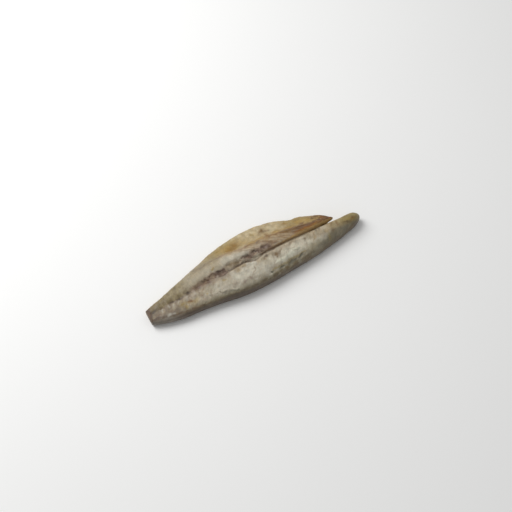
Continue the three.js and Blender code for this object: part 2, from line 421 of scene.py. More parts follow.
class Paint:
    """The surface's colour, laid on in coats."""

    def __init__(self, s, *tone):
        self.s = s
        self.color = np.tile(linear(*tone), (len(s.x), 1))
        self.mottle = rise(cloud(s.place, 4.5, octaves=4, seed=40.1), -0.35, 0.35)[:, None]

    def coat(self, share, tone, other=None):
        """Lays tone over the colour, where share is above 0. With other, the two tones are mottled."""
        tone = np.array(linear(*tone))
        if other is not None:
            tone = blend(self.mottle, tone, np.array(linear(*other)))
        self.color = blend(np.clip(share, 0, 1)[:, None], self.color, tone)

    def dab(self, share, tone, *marks, other=None):
        """A coat on a few oval marks, each with spot's numbers: x, y, half length, half width, turn."""
        self.coat(spots(self.s, *marks) * share, tone, other)

    def line(self, share, tone, half_width, *points, other=None):
        """A coat along a line through (x, y) points."""
        self.coat(stroke(self.s, half_width, *points) * share, tone, other)


def paint_flesh(s, f):
    """Lays on all the flesh's coats. Later ones cover earlier ones, so their order matters."""
    p = Paint(s, 176, 169, 151)
    p.coat(rise(s.broad, -0.3, 0.5) * 0.6, (168, 160, 142))
    p.coat(rise(-s.blotches, 0.05, 0.6) * 0.6, (190, 184, 168))
    paint_loin(p, s, f)
    paint_loin_slope(p, s)
    paint_flap(p, s, f)
    paint_fan(p, s, f)
    paint_fold(p, s)
    paint_streak(p, s)
    paint_tip(p, s)
    paint_split_wall(p, s, f)
    paint_backbone(p, s, f)
    paint_crack(p, s, f)
    paint_crest_marks(p, s)
    paint_head_marks(p, s)
    paint_brown_marks(p, s)
    paint_belly_marks(p, s)
    paint_tail_marks(p, s, f)
    paint_back(p, s, f)
    paint_skin_line(p, s)
    paint_cut(p, s)
    return p


def paint_loin(p, s, f):
    """A painted highlight along its crest, pinkish by the crack and at the tail, with thin lines between its
    flakes.
    """
    # Painted highlight: paler flesh along the loin's crest.
    p.coat(s.loin * band(s.down_loin, 9, 5) * within(s.x, 80, 132, 12) * 0.5, (192, 186, 168))
    pinkish = rise(s.blotches, 0.05, 0.5) * within(s.x, 2, 150, 20) * (0.5 - 0.3 * within(s.x, 76, 98, 10))
    p.coat(s.loin * pinkish, (152, 137, 116), (160, 142, 124))
    tail_side = s.loin * within(s.down_loin, 0, 2.5, 3.5) * within(s.x, 2, 78, 12)
    p.coat(tail_side * 0.75, (130, 114, 95), (146, 130, 110))
    p.coat(s.loin * within(s.down_loin, 0, 1.5, 3.5) * within(s.x, 98, 150, 10) * 0.45, (168, 150, 124))
    p.coat(s.loin * within(s.x, 112, 160, 10) * 0.25, (186, 178, 156))
    p.dab(s.loin * 0.4, (156, 141, 113), (103, -10.4, 6, 5, 0), (66, -11, 7, 6, 0), (113, -8.4, 7, 3, 0))
    p.dab(s.loin * 0.5, (156, 139, 115), (129, -6.4, 9, 2.8, 0))
    p.coat(s.loin * (1 - rise(s.x, 26, 62)) * 0.85, (132, 119, 98), (158, 145, 122))
    p.coat(s.loin * (1 - rise(s.x, 14, 34)) * 0.8, (114, 100, 80), (136, 123, 100))
    p.coat(s.loin * within(s.x, 20, 52, 10) * rise(-s.blotches, 0, 0.4) * 0.5, (136, 120, 86))
    p.coat(s.loin * (1 - rise(s.x, 16, 32)) * (1 - rise(s.y, -13, -9.6)) * 0.6, (94, 80, 66))
    low_side = s.loin * within(s.x, 16, 66, 8) * (1 - rise(s.y, -17, -13))
    p.coat(low_side * (0.5 - 0.2 * rise(s.x, 38, 48)), (122, 110, 90))
    p.coat(s.loin * within(s.x, 76, 96, 6) * (1 - rise(s.y, -21, -18)) * 0.35, (122, 110, 84))
    p.coat(s.loin * within(s.x, 120, 144, 8) * rise(s.y, -7, -5) * 0.4, (146, 129, 102))
    p.coat(s.loin * within(s.x, 20, 66, 8) * rise(s.y, -8, -5) * 0.3, (116, 102, 86))
    gaps = [stroke(s, 0.8, (x, -5.6), (x - 0.6, -9.4)) for x in (8.4, 14.8, 20.2, 24.4, 29.8, 37.4, 45)]
    p.coat(np.maximum.reduce(gaps) * s.loin * 0.6, (114, 98, 84))
    p.coat(f.flake_stripe * (0.36 - 0.26 * within(s.x, 66, 106, 8)), (156, 140, 120))
    p.coat(f.flake_line * (0.45 - 0.25 * within(s.x, 66, 106, 8)), (134, 114, 94))


def paint_loin_slope(p, s):
    """The loin's near slope and the low side of its head, darkened to greyish olive as painted shade, and its
    ochre head end.
    """
    slope_width = along(
        (0, 3), (20, 3.4), (40, 4.4), (60, 3.4), (80, 3), (100, 2.4), (115, 3.4), (140, 3.6), (150, 5),
        (197, 5),
    )
    # Painted shade: the near slope, turned away from the light, greyed darker above the skin.
    slope = s.loin * (1 - rise(s.above_skin / slope_width(s.x), 0.3, 1.1)) * rise(s.x, 0, 16)
    p.coat(slope * (0.8 - 0.4 * rise(s.x, 98, 116)), (122, 114, 91), (132, 125, 101))
    low_line = along(
        (126, -17.4), (140, -18), (150, -16.8), (158, -16.2), (164, -13), (170, -11.4), (182, -10)
    )
    # Painted shade: the low side of the head end, greyed darker.
    head_low_shade = s.loin * (1 - rise(s.y + 0.8 * s.blotches - low_line(s.x), -1.6, 1.6)) * rise(s.x, 122, 146)
    p.coat(head_low_shade * (0.4 + 0.45 * rise(s.x, 138, 160)), (114, 106, 84), (124, 116, 94))
    p.coat(s.loin * within(s.x, 132, 148, 8) * band(s.y, -12.5, 4.5) * 0.5, (204, 197, 176))
    p.coat(s.loin * within(s.x, 148, 164, 10) * rise(s.y, -14, -10) * 0.7, (170, 154, 128), (154, 138, 110))
    p.coat(s.loin * within(s.x, 168, 180, 8) * rise(s.y, -14, -10) * 0.75, (168, 148, 110), (150, 130, 90))
    p.coat(s.loin * rise(s.x, 168, 182) * rise(s.y, -13, -9) * 0.85, (142, 124, 74), (130, 114, 70))


def paint_flap(p, s, f):
    """Olive at the tail, pale along the thick muscle's edge and on its ridge, partly a painted highlight
    there, and yellowish on the thin belly.
    """
    p.coat(s.flap * (1 - rise(s.x, 26, 64)) * 0.95, (120, 105, 72), (132, 118, 86))
    p.coat(s.flap * rise(f.tail_fibre, 0.05, 0.5) * 0.35, (152, 141, 110))
    p.coat(s.flap * rise(s.blotches, -0.1, 0.5) * (1 - rise(s.x, 30, 60)) * 0.5, (110, 96, 64))
    p.coat(s.flap * (1 - rise(s.x, 8, 16)) * 0.35, (98, 82, 60))
    p.coat(s.flap * within(s.x, 46, 62, 14) * 0.5, (158, 146, 122))
    muscle_edge = s.flap * within(s.past_belly, -3, 1, 2.5) * rise(s.x, 62, 76)
    p.coat(muscle_edge * 0.7, (164, 147, 120), (156, 136, 106))
    # Paler on the ridge: partly the flesh's own tone, partly a painted highlight.
    p.coat(f.ridge * 0.45, (182, 172, 152))
    belly = s.flap * rise(s.past_belly, -3.4, 3.4) * rise(s.x, 46, 70)
    p.coat(belly * 0.95, (144, 125, 80), (154, 136, 92))
    p.coat(belly * within(s.x, 96, 132, 12) * 0.85, (188, 173, 141), (174, 156, 122))
    patches = cloud(s.place, 8, octaves=4, seed=61.2)
    calm = 1 - 0.5 * within(s.x, 98, 136, 8)
    p.coat(belly * calm * rise(patches, 0.02, 0.5) * 0.5, (140, 116, 66), (150, 124, 80))
    p.coat(belly * calm * rise(-patches, 0.1, 0.5) * 0.35, (186, 172, 140))


def paint_fan(p, s, f):
    """The muscle between the split and the belly, with its light and dark fibres."""
    fan = f.fan_zone
    p.coat(fan * 0.85, (150, 131, 101), (144, 124, 93))
    p.coat(fan * rise(-f.fan_fibre, 0, 0.3) * 0.75, (178, 162, 137))
    p.coat(fan * rise(f.fan_fibre, 0, 0.3) * 0.75, (118, 92, 64))
    p.dab(s.flap * 0.5, (170, 154, 132), (105, 2.6, 6, 1.8, -32))
    fan_lines = [
        stroke(s, 0.6, (x, y), (x + 7, y - 4.2), (x + 15, y - 8.6))
        for x, y in ((88, 7.4), (93, 7.6), (99, 6.8), (104.6, 6.6), (110, 6.4), (115, 6.6), (119, 6.4))
    ]
    p.coat(np.maximum.reduce(fan_lines) * s.flap * 0.6, (116, 90, 64))


def paint_fold(p, s):
    """The fold where the thin belly starts: grey, then pinkish brown, with gold patches beyond it."""
    grey = stroke(s, 2.6, (48, 11.8), (58, 11.2), (66, 11), (74, 11.4)) + spots(s, (105.4, 7.4, 2.2, 1.2, 0))
    p.coat(grey * s.flap * 0.7, (120, 108, 92))
    p.line(s.flap * 0.55, (112, 99, 90), 0.8, (48, 9.8), (56, 10.4), (64, 10.8), (73, 12))
    p.line(s.flap * 0.75, (148, 122, 98), 1.2, (71, 12.8), (76, 11.6), (82, 9.8), (92, 8.2), (102, 8))
    p.dab(0.55, (158, 132, 78), (80, 17.6, 9, 3.4, 12), (98, 16, 5, 3.4, 0), (93, 21, 5, 2, 0))
    p.dab(0.8, (143, 113, 54), (85, 15, 6, 4.6, 20), (91, 16, 4.6, 4.4, 40))
    p.dab(0.8, (128, 95, 36), (83.6, 13.8, 3.4, 2.2, 25), (89.6, 16.6, 3, 3.2, 40), (88, 12.4, 3, 1.6, 10))
    p.coat(s.flap * band(s.y, 8.6, 4) * within(s.x, 50, 66, 10) * 0.45, (142, 126, 97))
    p.coat(s.flap * rise(s.y, 7, 11) * within(s.x, 48, 68, 8) * 0.35, (130, 116, 88))
    p.dab(s.flap * 0.6, (134, 113, 76), (101.4, 9.2, 5.4, 3.2, -8))
    p.dab(s.flap * 0.4, (148, 113, 42), (126, 8.4, 5, 2.2, 0), (136, 7.4, 4, 1.8, -10))
    p.dab(s.flap * 0.35, (146, 130, 94), (66, 6.4, 6, 4.4, 0))
    p.coat(s.flap * band(s.past_belly, 1.2, 3) * within(s.x, 100, 124, 8) * 0.5, (146, 118, 80))
    p.dab(s.flap * 0.4, (140, 118, 80), (104.6, 9.4, 5, 3, 0))
    p.dab(s.flap * 0.5, (130, 102, 62), (127, 1, 9, 4.4, -20), (138, 7, 7, 3.4, -10))
    p.dab(s.flap * 0.4, (176, 162, 140), (107, 3.4, 7, 1.8, -24))
    p.dab(s.flap * 0.5, (136, 108, 62), (114, 7, 4, 3, 0))
    fold = stroke(s, 0.8, (94, 8.2), (101, 8.8), (108, 8.9), (115, 7.8), (122, 6.8), (130, 5.4))
    p.coat(fold * s.flap * 0.55, (124, 95, 62))
    gold = spots(
        s, (102, 10, 4.6, 2, -10), (110, 10.6, 4, 1.8, 0), (126, 9.6, 6, 2, -4), (136, 8.4, 6, 2.4, -10),
        (135, 14.4, 3, 1.8, 0), (146, 10, 4, 2, -20), (154, 7.6, 4, 2, -30),
    )
    p.coat(gold * s.flap * 0.75, (146, 114, 54), (152, 126, 70))
    p.dab(0.85, (116, 82, 34), (117, 9.6, 1.7, 3.6, -14), (121, 7, 3, 1, -20))


def paint_streak(p, s):
    """The brown streak that runs to the flap's tip, with an orange line and a golden seam by the split."""
    brown = stroke(s, 2.4, (122, 7), (130, 5), (140, 3.4), (150, 2), (158, 0.4)) * rise(s.x, 118, 132)
    p.coat(brown * s.flap * 0.9, (102, 73, 47), (112, 82, 38))
    p.coat(s.flap * rise(s.x, 130, 144) * (1 - rise(s.past_belly, 0, 3)) * 0.85, (94, 64, 36))
    ember = stroke(s, 1, (128, -1.2), (136, -0.8), (146, -1), (157, -1), (168, -1.8)) * rise(s.x, 130, 142)
    p.coat(ember * 0.95, (124, 79, 25))
    p.dab(s.flap * 0.8, (152, 114, 46), (156.4, -1.6, 3, 1, 0))
    p.line(s.flap * 0.7, (104, 84, 50), 0.9, (122, -3.4), (140, -3), (155, -2.8), (169, -2.4))
    p.line(s.flap * 0.7, (158, 124, 66), 0.5, (124, -2.8), (140, -2.1), (155, -1.9), (167, -1.8))
    p.coat(s.flap * rise(s.x, 126, 150) * rise(s.past_belly, 0, 3) * 0.4, (146, 120, 70))


def paint_tip(p, s):
    """The flap's brown tip, with dark spots and light flecks."""
    tip = s.flap * rise(s.x + 1.5 * s.blotches, 154, 162)
    p.coat(tip * 0.85, (94, 66, 42), (118, 84, 46))
    p.dab(s.flap * 0.65, (160, 132, 74), (154, 5.6, 3.8, 2.4, -20), (147, 10, 4, 2, -20))
    p.dab(s.flap * 0.8, (102, 69, 40), (147.6, 6.2, 1.7, 1.4, 0))
    p.dab(s.flap * 0.7, (80, 55, 36), (160.8, 2, 2, 1.5, -30), (158.6, 7, 1.5, 1.5, 0), (157, 2.4, 1, 1, 0))
    p.dab(s.flap * 0.55, (92, 62, 46), (163.8, 0.6, 3.4, 1.3, -20))
    p.dab(s.flap * 0.8, (118, 70, 30), (165.4, 3, 2.6, 1.2, -40), (169.6, -1.4, 2, 0.9, -40))
    fleck = spots(s, (160.8, 4.8, 1, 1.5, 10), (163.6, 5.6, 0.9, 0.7, -30), (157.8, 4.4, 0.9, 0.8, 0))
    p.coat(fleck * s.flap * 0.75, (168, 140, 86))
    flecks = rise(cloud(s.place, 2.4, octaves=2, seed=71.8), 0.02, 0.35)
    p.coat(tip * flecks * (1 - rise(s.x, 164, 168)) * 0.35, (150, 124, 80))


def paint_split_wall(p, s, f):
    """The wall of the split, light at its upper edge and darker towards its foot as painted shade, with
    painted shade on the loin inside the split.
    """
    # Painted shade: darker down the wall towards the split's foot.
    depth = rise(wall_top(s.x) - s.y, 0, 2.4)
    p.coat(f.wall * 0.95, (184, 148, 94), (164, 134, 88))
    p.coat(f.wall * depth * (0.75 - 0.15 * rise(s.x, 128, 146)), (130, 104, 74))
    p.coat(f.wall * rise(s.x, 148, 162) * 0.5, (170, 138, 82))
    # Painted shade: the loin's face inside the split, darker.
    p.coat(s.loin * (1 - s.open) * 0.6, (146, 130, 100), (132, 114, 84))


def paint_backbone(p, s, f):
    """The brownish band that the backbone left: dark hollows, a few light edges, painted shadows on rims and
    small steps, painted highlights and glints.
    """
    p.line(0.45 * s.up, (108, 94, 80), 1.2, (3, -5.2), (12, -5.2), (24, -5), (36, -4.8), (46, -4.4))
    p.coat(f.spine_band * 0.75, (128, 109, 90), (142, 124, 102))
    p.coat(f.spine_band * within(s.x, 92, 114, 5) * 0.75, (108, 84, 66), (120, 96, 76))
    lower_band = stroke(s, 2, (41, -2.8), (50, -3), (57, -2.6), (63, -1.8), (72, -3.4))
    p.coat(lower_band * 0.65, (106, 81, 63), (120, 96, 76))
    p.line(0.4, (112, 86, 64), 1, (42, -1.6), (48, -0.8), (54, -0.2), (62, 0.6))
    p.coat(f.hollow_dark * 0.9, (90, 67, 53), (104, 82, 66))
    p.line(0.5, (106, 88, 77), 1.7, (94, -0.8), (100, 0), (106, 0.2), (112, -0.6))
    p.dab(s.flap * 0.7, (160, 138, 108), (116, -2.6, 1.8, 0.9, -10))
    p.dab(0.6, (148, 130, 100), (79, -0.6, 6.4, 2, -6), other=(130, 112, 84))
    p.dab(0.5, (118, 100, 74), (83, -0.9, 4.6, 1.8, -6))
    p.dab(0.5, (130, 112, 84), (78.6, -1.6, 5.4, 2, -10), other=(118, 101, 75))
    p.dab(0.5, (106, 85, 67), (107, -2.6, 5.4, 1.8, -8))
    p.line(0.4, (98, 80, 58), 0.6, (72, 1.8), (77, 2.2), (83, 1.6), (87, 0))
    p.line(0.45, (172, 157, 134), 0.8, (69.4, 5), (71, 2), (73.4, -0.6), (76.5, -2.8))
    p.line(0.4, (168, 152, 130), 0.6, (61.2, 2), (62.4, 0), (64.6, -3))
    # Painted shadows: short dark marks under small steps beside the crack.
    step_shadows = spots(s, (21, -4.2, 1.9, 0.8, -10), (28.4, -4, 2, 0.9, -12), (36.4, -3.8, 1.9, 0.8, -10))
    p.coat(step_shadows * 0.85, (66, 57, 46))
    p.line(0.25, (92, 72, 57), 0.6, (49, -1), (51.6, -0.7), (54.2, -2.2), (55, -4.2), (51.8, -4))
    p.dab(0.6, (98, 76, 61), (45, -3.6, 3.4, 1.4, 0), (54.6, -3.6, 2.6, 1.4, 0))
    # Painted shadow on a hollow's rim.
    p.coat(ring(s, 52.2, -2.6, 2.4, 1.6, -24, 0.5) * 0.5, (92, 71, 55))
    p.dab(0.6, (140, 116, 86), (52.6, -2.8, 1.2, 0.8, -20))
    p.line(0.75, (94, 73, 62), 1.1, (61.8, -0.2), (65, 0.1), (68, -0.2), (70.8, -1.6))
    # Painted shadow on a hollow's rim.
    p.coat(ring(s, 60, -1.6, 2.6, 1.9, -14, 0.6) * 0.6, (84, 62, 48))
    p.dab(0.75, (86, 64, 50), (61.8, -2, 1, 1.8, 10), (54.8, -3, 1, 1.5, 10))
    # Painted shadow on a hollow's rim.
    p.coat(ring(s, 67.4, -2.4, 4.8, 2.8, -32, 0.7) * 0.8, (86, 67, 57))
    p.dab(0.5, (140, 122, 108), (67, -1.8, 1.4, 0.7, -30), (68.6, -3.6, 1.2, 0.7, 10))
    # Painted highlights in the middles of two hollows.
    p.dab(0.8, (164, 145, 122), (59.8, -1.5, 1.5, 1, 0), (99.6, -2, 1.2, 0.7, 30))
    p.line(0.7, (100, 84, 65), 1.3, (89.6, -4.6), (94, -5), (99, -4.8), (105, -4.2), other=(150, 137, 114))
    p.dab(0.5, (130, 110, 92), (93, -2.6, 1.6, 0.9, -30), (104, -0.8, 1.2, 1.6, -30))
    # Painted highlights: glints over the band.
    glints = rise(cloud(s.place, 1.6, octaves=2, seed=27.3), 0.25, 0.5)
    p.coat(f.spine_band * glints * within(s.x, 62, 112, 8) * 0.5, (166, 152, 134))


def paint_crack(p, s, f):
    """Painted shade along the crack and the split wall's foot, with a painted highlight on the loin's raised
    lip beside it.
    """
    # Painted highlight on the loin's raised lip.
    p.coat(f.crack_lip * 0.3, (190, 182, 164))
    # Painted shade: dark lines in the crack and at the foot of the split's wall.
    p.line(0.75, (84, 66, 47), 0.9, (71.6, -4.2), (76, -3.8), (82, -3.6), (86, -3.5), (90.4, -4))
    p.line(0.4, (100, 84, 66), 0.5, (91, -5), (94, -6.2), (97, -6.8), (101, -5.6))
    p.line(0.6, (96, 72, 48), 0.7, (103, -4.3), (112, -4.1), (120, -3.7), (128, -3.5))
    p.coat(f.crack * (0.85 - 0.25 * rise(s.x, 100, 112)), (92, 72, 54))


def paint_crest_marks(p, s):
    """Ochre freckles, and soft patches along the loin's crest, one of them a painted highlight on the ridge
    by the crack.
    """
    ochre = spots(
        s, (28, -10.4, 3.2, 1.4, 0), (29.6, -14, 1.7, 1.8, 40), (33.2, -12.6, 1.5, 1.2, 30),
        (34.4, -11.4, 2.4, 1.3, -20), (38.6, -13.2, 2, 1.6, 0), (49, -13, 1.2, 0.9, 20),
        (62.6, 4, 1.7, 1.2, 10), (66.4, -9.8, 1.7, 1, 0), (75, 19, 2, 1.2, 0),
        (187.6, -11.2, 3.4, 1.2, 12), (118.4, -23.2, 3, 1, 0),
    )
    p.coat(ochre * s.top * 0.75, (138, 116, 60))
    p.dab(s.loin * 0.7, (144, 123, 88), (80.6, -7.8, 1.8, 2.6, 0), (86, -6.4, 2.4, 1.6, 0))
    # Pale patches: the one at x 75 is the flesh's own, the one at x 94 is a painted highlight on the ridge by
    # the crack.
    p.dab(s.loin * 0.5, (198, 192, 174), (75, -8.4, 2.6, 2.2, 0), (94, -9.4, 3, 1.4, -30))
    p.dab(s.loin * 0.4, (148, 129, 94), (80, -5.2, 6, 1.4, 0), (102, -8.6, 4.6, 2.2, 0))


def paint_head_marks(p, s):
    """Brown and ochre marks towards the loin's head end."""
    p.dab(0.45, (146, 122, 70), (150, -11, 2.4, 1.2, 0), (162, -11, 1.6, 2, 30))
    p.dab(s.loin * 0.5, (136, 110, 72), (168, -7, 1.4, 1.8, 10))
    p.dab(s.loin * 0.8, (114, 90, 54), (173.6, -8, 1.5, 2.6, 0))
    p.dab(s.loin * 0.75, (102, 84, 56), (167.4, -12.8, 2.4, 1.2, 15), (181, -10.6, 2.4, 0.9, 0))
    p.dab(s.loin * 0.55, (134, 118, 70), (161.6, -15.4, 1.6, 2.6, -10))
    p.dab(s.loin * 0.5, (150, 128, 62), (184, -8.4, 2.4, 1, 10))
    p.dab(0.7, (124, 90, 46), (187.6, -9.8, 3.4, 1, 10))
    p.dab(0.75, (88, 78, 68), (153.6, -6, 0.6, 2, -20), (156.6, -6.4, 0.6, 2, -20))


def paint_brown_marks(p, s):
    """Brown marks over the loin, one of them a small burnt spot, with painted highlights as pale flecks and a
    thin line.
    """
    p.dab(s.top * 0.6, (116, 95, 78), (9, -9.6, 5, 0.9, -4), (17, -11, 3, 1, -10))
    p.dab(0.5, (136, 106, 56), (35, -11, 2, 1.3, -25))
    p.dab(1, (92, 52, 14), (35, -10.8, 1.2, 0.9, -40))
    brown = spots(
        s, (21, -15.4, 1.6, 1, 20), (35, -18, 4, 1.1, 0), (45, -11.4, 1.8, 2.2, 30),
        (86, -18.4, 1.8, 1.5, -30), (103.4, -9.2, 1, 1.5, -20), (106, -8, 1.6, 1.2, 0),
        (114, -10.6, 2.4, 2.2, -30), (117.4, -9.2, 2, 1, 10), (130, -7, 2, 1, 20), (142, -8.4, 1.8, 1, 0),
    )
    p.coat(brown * s.top * 0.6, (112, 90, 66))
    p.dab(0.85, (108, 85, 53), (113.8, -10.2, 2.8, 2.2, -20), (113.4, -12.4, 1, 1.6, 0))
    p.dab(s.loin * 0.8, (94, 82, 68), (106, -7.4, 2.4, 1.2, 10))
    p.dab(s.top * 0.4, (128, 110, 92), (72.6, -17.4, 3, 2, 0), (80, -18.6, 2.6, 1.4, 20))
    p.dab(0.5, (114, 98, 88), (86.2, -18.8, 1.8, 1.4, 30), (81, -18.8, 1.8, 1.2, 0))
    # Painted highlights on a flake's edge and on the ridge by the crack.
    p.dab(0.6, (204, 198, 182), (89.6, -20.6, 1.8, 0.7, -10), (94, -8, 3, 1, -30))
    p.line(0.7, (134, 114, 94), 0.5, (93.6, -11.6), (91.4, -15), (88, -18.6))


def paint_belly_marks(p, s):
    """A brown hook-shaped mark and a few spots on the belly."""
    p.dab(s.flap, (108, 82, 44), (115.6, 18.2, 2.3, 3, -20))
    p.line(s.flap * 0.6, (114, 96, 74), 1.4, (116, 17), (118.6, 15.8), (121.4, 15.5))
    p.dab(s.flap * 0.65, (148, 122, 60), (106.2, 19.6, 1.2, 1.8, 20), (107.4, 18, 1, 0.8, 0))
    p.dab(s.flap * 0.7, (104, 91, 80), (105.4, 7.2, 2, 1, -10))


def paint_tail_marks(p, s, f):
    """Marks near the tail: dark lines of painted shadow where the flesh meets the skin, pale ribs and fine
    wrinkles.
    """
    p.dab(s.top * 0.85, (66, 58, 50), (5, -4.8, 3, 1.2, -6))
    # Painted shadow: dark lines where the flesh's edge overhangs the skin.
    p.line(0.7, (88, 71, 55), 1.4, (1, -11.4), (8, -12.4), (14, -14.4), (20, -16.4), (30, -18.2), (44, -20))
    p.line(0.8, (84, 66, 51), 0.9, (3, -11), (8, -11.6), (13, -13), (18, -15.4), (24, -17))
    p.dab(0.75, (172, 168, 155), (14.8, -13.2, 2.2, 1.3, -15), (18.4, -14, 1.4, 1, -10))
    p.dab(0.6, (98, 84, 62), (23.6, -14.6, 1.8, 1.2, 20), (27.6, -15.4, 1.6, 1, 0))
    p.dab(0.5, (176, 160, 128), (40.4, -13.6, 2.6, 2, 0))
    starts = ((49, -14.6), (51.6, -14.8), (54, -15), (57, -16))
    wrinkles = [stroke(s, 0.4, (x, y), (x + 2.4, y - 2)) for x, y in starts]
    p.coat(np.maximum.reduce(wrinkles) * 0.7, (106, 96, 78))
    p.coat(f.rib * 0.55, (178, 172, 159))


def paint_back(p, s, f):
    """The loin's back edge: painted highlight on its crest, ochre seam, fine lines, the fin's pockets and the
    rolled rim with painted shade and highlights.
    """
    # Painted highlight: a pale patch on the crest.
    p.dab(s.top * 0.75, (198, 195, 176), (124, -16, 9, 2.6, 6))
    p.dab(s.top * 0.45, (146, 133, 98), (145, -16.6, 9, 2.6, 8))
    # Painted highlight along the crest.
    p.coat(f.crest * 0.7, (198, 196, 176))
    p.line(0.7, (148, 131, 84), 1, (105, -20.4), (117, -19.7), (126, -18.9), (137, -18.5))
    p.line(0.35, (108, 95, 64), 1.6, (104, -22.8), (116, -22.6), (130, -21.6), (144, -20.4))
    p.line(0.6, (122, 108, 88), 0.35, (124.6, -10.4), (128, -11.4), (131.4, -11.6))
    p.line(0.6, (128, 116, 94), 0.35, (126.4, -13), (128.6, -14.4), (131.6, -15))
    p.line(0.6, (146, 124, 92), 0.8, (151, -8.4), (149, -11), (148, -14))
    # Painted shade inside the fin's pockets and along their upper lips.
    p.coat(f.pocket * 0.85, (112, 109, 93))
    shaded_lids = [
        stroke(s, 0.45, (x - long, y - 0.4), (x - 0.3 * long, y + 0.8), (x + 0.9 * long, y + 0.7))
        for x, y, long, _ in FIN_POCKETS
    ]
    p.coat(np.maximum.reduce(shaded_lids) * s.top * 0.5, (84, 76, 60))
    # Painted highlight on the pockets' lower rims.
    p.coat(f.pocket_rim * 0.6, (152, 146, 124))
    # Painted highlight on the rolled rim and painted shade beneath it.
    p.coat(f.rim * 0.35, (166, 159, 138))
    p.coat(f.under_rim * 0.3, (106, 101, 86))


def paint_skin_line(p, s):
    """Olive just above the skin near the fin's pockets, and a brown line of painted shadow where the flesh
    meets the skin.
    """
    olive = within(s.above_skin, 0.3, 1.8, 1) * within(s.x, 100, 136, 10) * rise(s.middling, -0.7, 0.3)
    p.coat(olive * s.loin * 0.6, (108, 92, 58))
    # Painted shadow: a brown line under the flesh's edge on the near side.
    edge = band(s.above_skin, 0.4, 0.9) * within(s.x, 20, 188, 14) * rise(s.middling, -0.6, 0.2)
    p.coat(edge * s.loin * rise(-s.facing[:, 1], 0.05, 0.3) * 0.6, (100, 81, 58))


def paint_cut(p, s):
    """The tail's cut face, with the end of the backbone in it."""
    cut = 1 - rise(s.x - 0.15 * s.y + 0.5 * s.middling, 2.6, 4.4)
    p.coat(cut * 0.9, (80, 61, 46), (96, 75, 58))
    face = 1 - rise(s.x, 0.3, 0.8)
    p.coat(face * 0.4, (112, 94, 76), (98, 82, 66))
    p.coat(face * np.exp(-(((s.y + 5.4) / 1.6) ** 2 + ((s.z - 4.2) / 1.3) ** 2)) * 0.8, (70, 52, 42))


def paint_skin(p, s):
    """Dark on the back with faint wavy bars, bronze along the side and pale gold under the belly."""
    side = (s.y - near_edge(s.x)) / (far_edge(s.x) - near_edge(s.x)) + 0.05 * s.broad
    tone = Paint(s, 87, 75, 62)
    tone.coat(rise(s.above_skin, -1.6, 0.3) * s.loin * (0.6 - 0.5 * rise(s.x, 96, 120)), (114, 102, 80))
    tone.coat(1 - rise(s.x, 6, 34), (124, 116, 105))
    tone.coat((1 - rise(s.x, 4, 16)) * 0.5, (98, 89, 78))
    tone.coat(rise(side, 0.22, 0.5), (112, 96, 66), (98, 86, 64))
    tone.coat(rise(side, 0.48, 0.78), (158, 138, 96), (148, 130, 92))
    tone.coat(rise(side, 0.8, 1.0) * 0.7, (176, 160, 122))
    waves = np.sin(2 * math.pi * (s.x / 9.5 + 0.5 * s.broad + 0.9 * side))
    bars = rise(waves, 0.1, 0.7) * (1 - rise(side, 0.3, 0.5)) * rise(0.14 - side, -0.2, 0.02)
    tone.coat(bars * (1 - rise(s.above_skin, -6, -3)) * 0.7, (50, 46, 44))
    tone.coat(band(side, 0.47, 0.015) * 0.4, (82, 72, 56))
    p.color = blend(s.skin[:, None], p.color, tone.color)


# ---------------------------------------------------------------- the fillet

flesh = build_surface()
set_positions(flesh, relaxed(flesh, positions(flesh)))
surface = Surface(flesh)
features = Features(surface)

moved = positions(flesh) + surface.facing * relief(surface, features)[:, None] * MM
moved[:, 2] = np.maximum(moved[:, 2], 0)
set_positions(flesh, moved)

painted = paint_flesh(surface, features)
paint_skin(painted, surface)
store(flesh, "tone", np.column_stack([np.clip(painted.color, 0, 1), np.ones(len(surface.x))]))
store(flesh, "skin", surface.skin)
store(flesh, "flow", features.flow * MM)

fillet = bpy.data.objects.new("fillet_flesh", flesh)
bpy.context.scene.collection.objects.link(fillet)
flesh.shade_smooth()

# ---------------------------------------------------------------- materials


